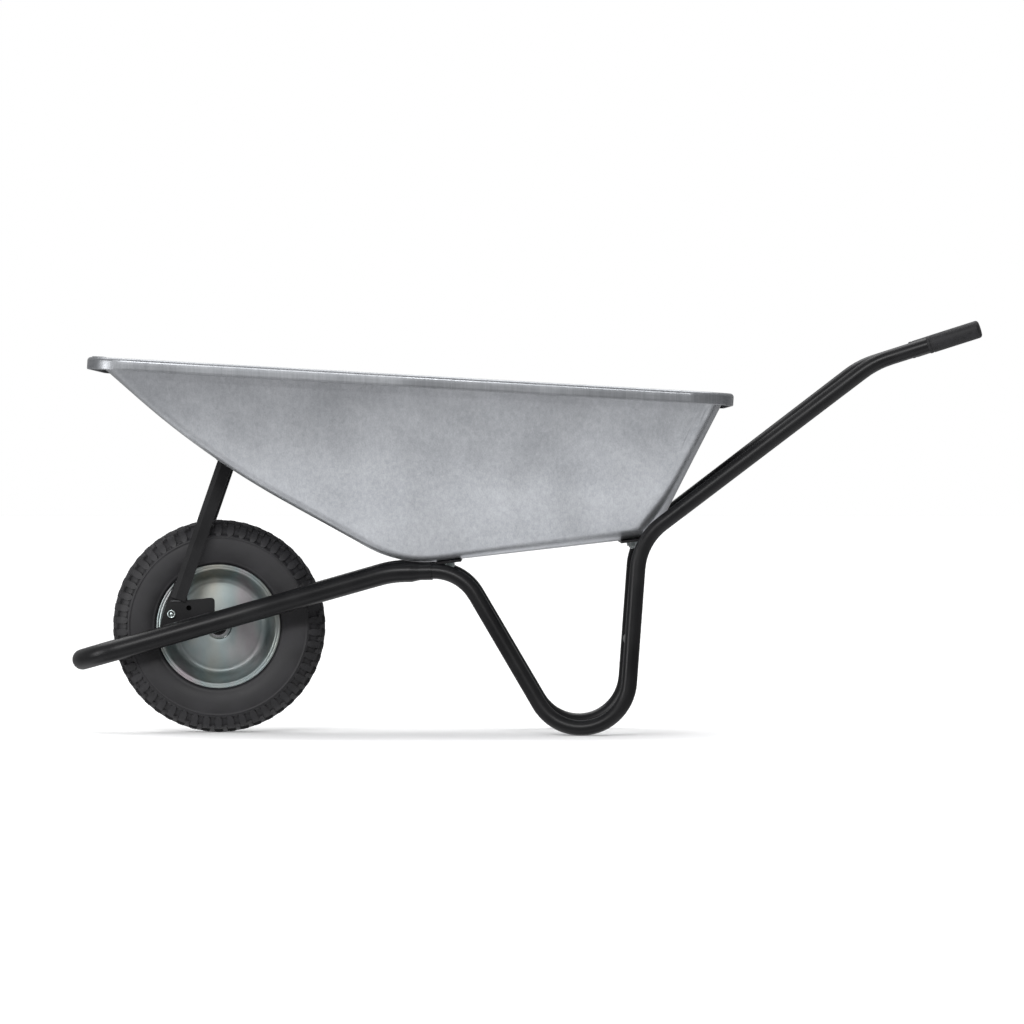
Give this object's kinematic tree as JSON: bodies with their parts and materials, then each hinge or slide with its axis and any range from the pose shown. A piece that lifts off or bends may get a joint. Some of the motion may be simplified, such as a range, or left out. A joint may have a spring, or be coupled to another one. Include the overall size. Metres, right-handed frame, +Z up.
{
  "type": "wheelbarrow",
  "caption": "Builder's wheelbarrow: a deep steel tray on a bent tube frame with a looped front, braced feet and a pneumatic wheel that turns freely on its axle.",
  "frame": {"origin": "on the ground under the centre of the whole barrow's bounding box", "axes": "+Z up, +X from the wheel back to the handles along the barrow's length, +Y to the user's right; the barrow mirrors about the XZ plane"},
  "size_m": [1.4821, 0.658, 0.672],
  "materials": {
    "galvanised": "hot-dip galvanised steel, dull, faintly mottled with fine brushing down the walls",
    "black_paint": "satin black powder coat",
    "zinc_plate": "zinc plate with a faint blue and yellow passivation tint",
    "bright_steel": "ground bright steel",
    "tyre": "matt black moulded tyre rubber",
    "rubber": "matt black rubber",
    "grip": "matt black moulded plastic with a fine grain"
  },
  "bodies": {
    "frame": {"tray": "galvanised", "front_loop": "black_paint", "leg_handle_left": "black_paint", "leg_handle_right": "black_paint", "grip_left": "grip", "grip_right": "grip", "front_brace": "black_paint", "gusset_left": "black_paint", "gusset_right": "black_paint", "axle_bracket_left": "black_paint", "axle_bracket_right": "black_paint", "bracket_bolts": "zinc_plate", "bracket_washers": "zinc_plate", "bracket_nuts": "zinc_plate", "front_cross_strap": "black_paint", "rear_cross_strap": "black_paint", "leg_cross_brace": "black_paint", "tray_bolts": "zinc_plate", "tray_washers": "zinc_plate", "tray_nuts": "zinc_plate", "axle_spindle": "bright_steel", "spacer_left": "zinc_plate", "spacer_right": "zinc_plate", "bearing_sleeve": "bright_steel", "bearing_inner_left": "bright_steel", "bearing_inner_right": "bright_steel"},
    "wheel": {"bearing_outer_left": "bright_steel", "bearing_outer_right": "bright_steel", "bearing_balls_left": "bright_steel", "bearing_balls_right": "bright_steel", "bearing_cage_left": "bright_steel", "bearing_cage_right": "bright_steel", "bearing_seals": "rubber", "hub_tube": "zinc_plate", "rim_left": "zinc_plate", "rim_right": "zinc_plate", "tyre": "tyre", "inner_tube": "rubber", "valve_stem": "rubber", "valve_cap": "rubber"}
  },
  "joints": [
    {"name": "wheel_spin", "type": "hinge", "parent": "frame", "child": "wheel", "pos_m": [-0.4993, 0, 0.175], "axis": [0, 1, 0], "continuous": true}
  ]
}
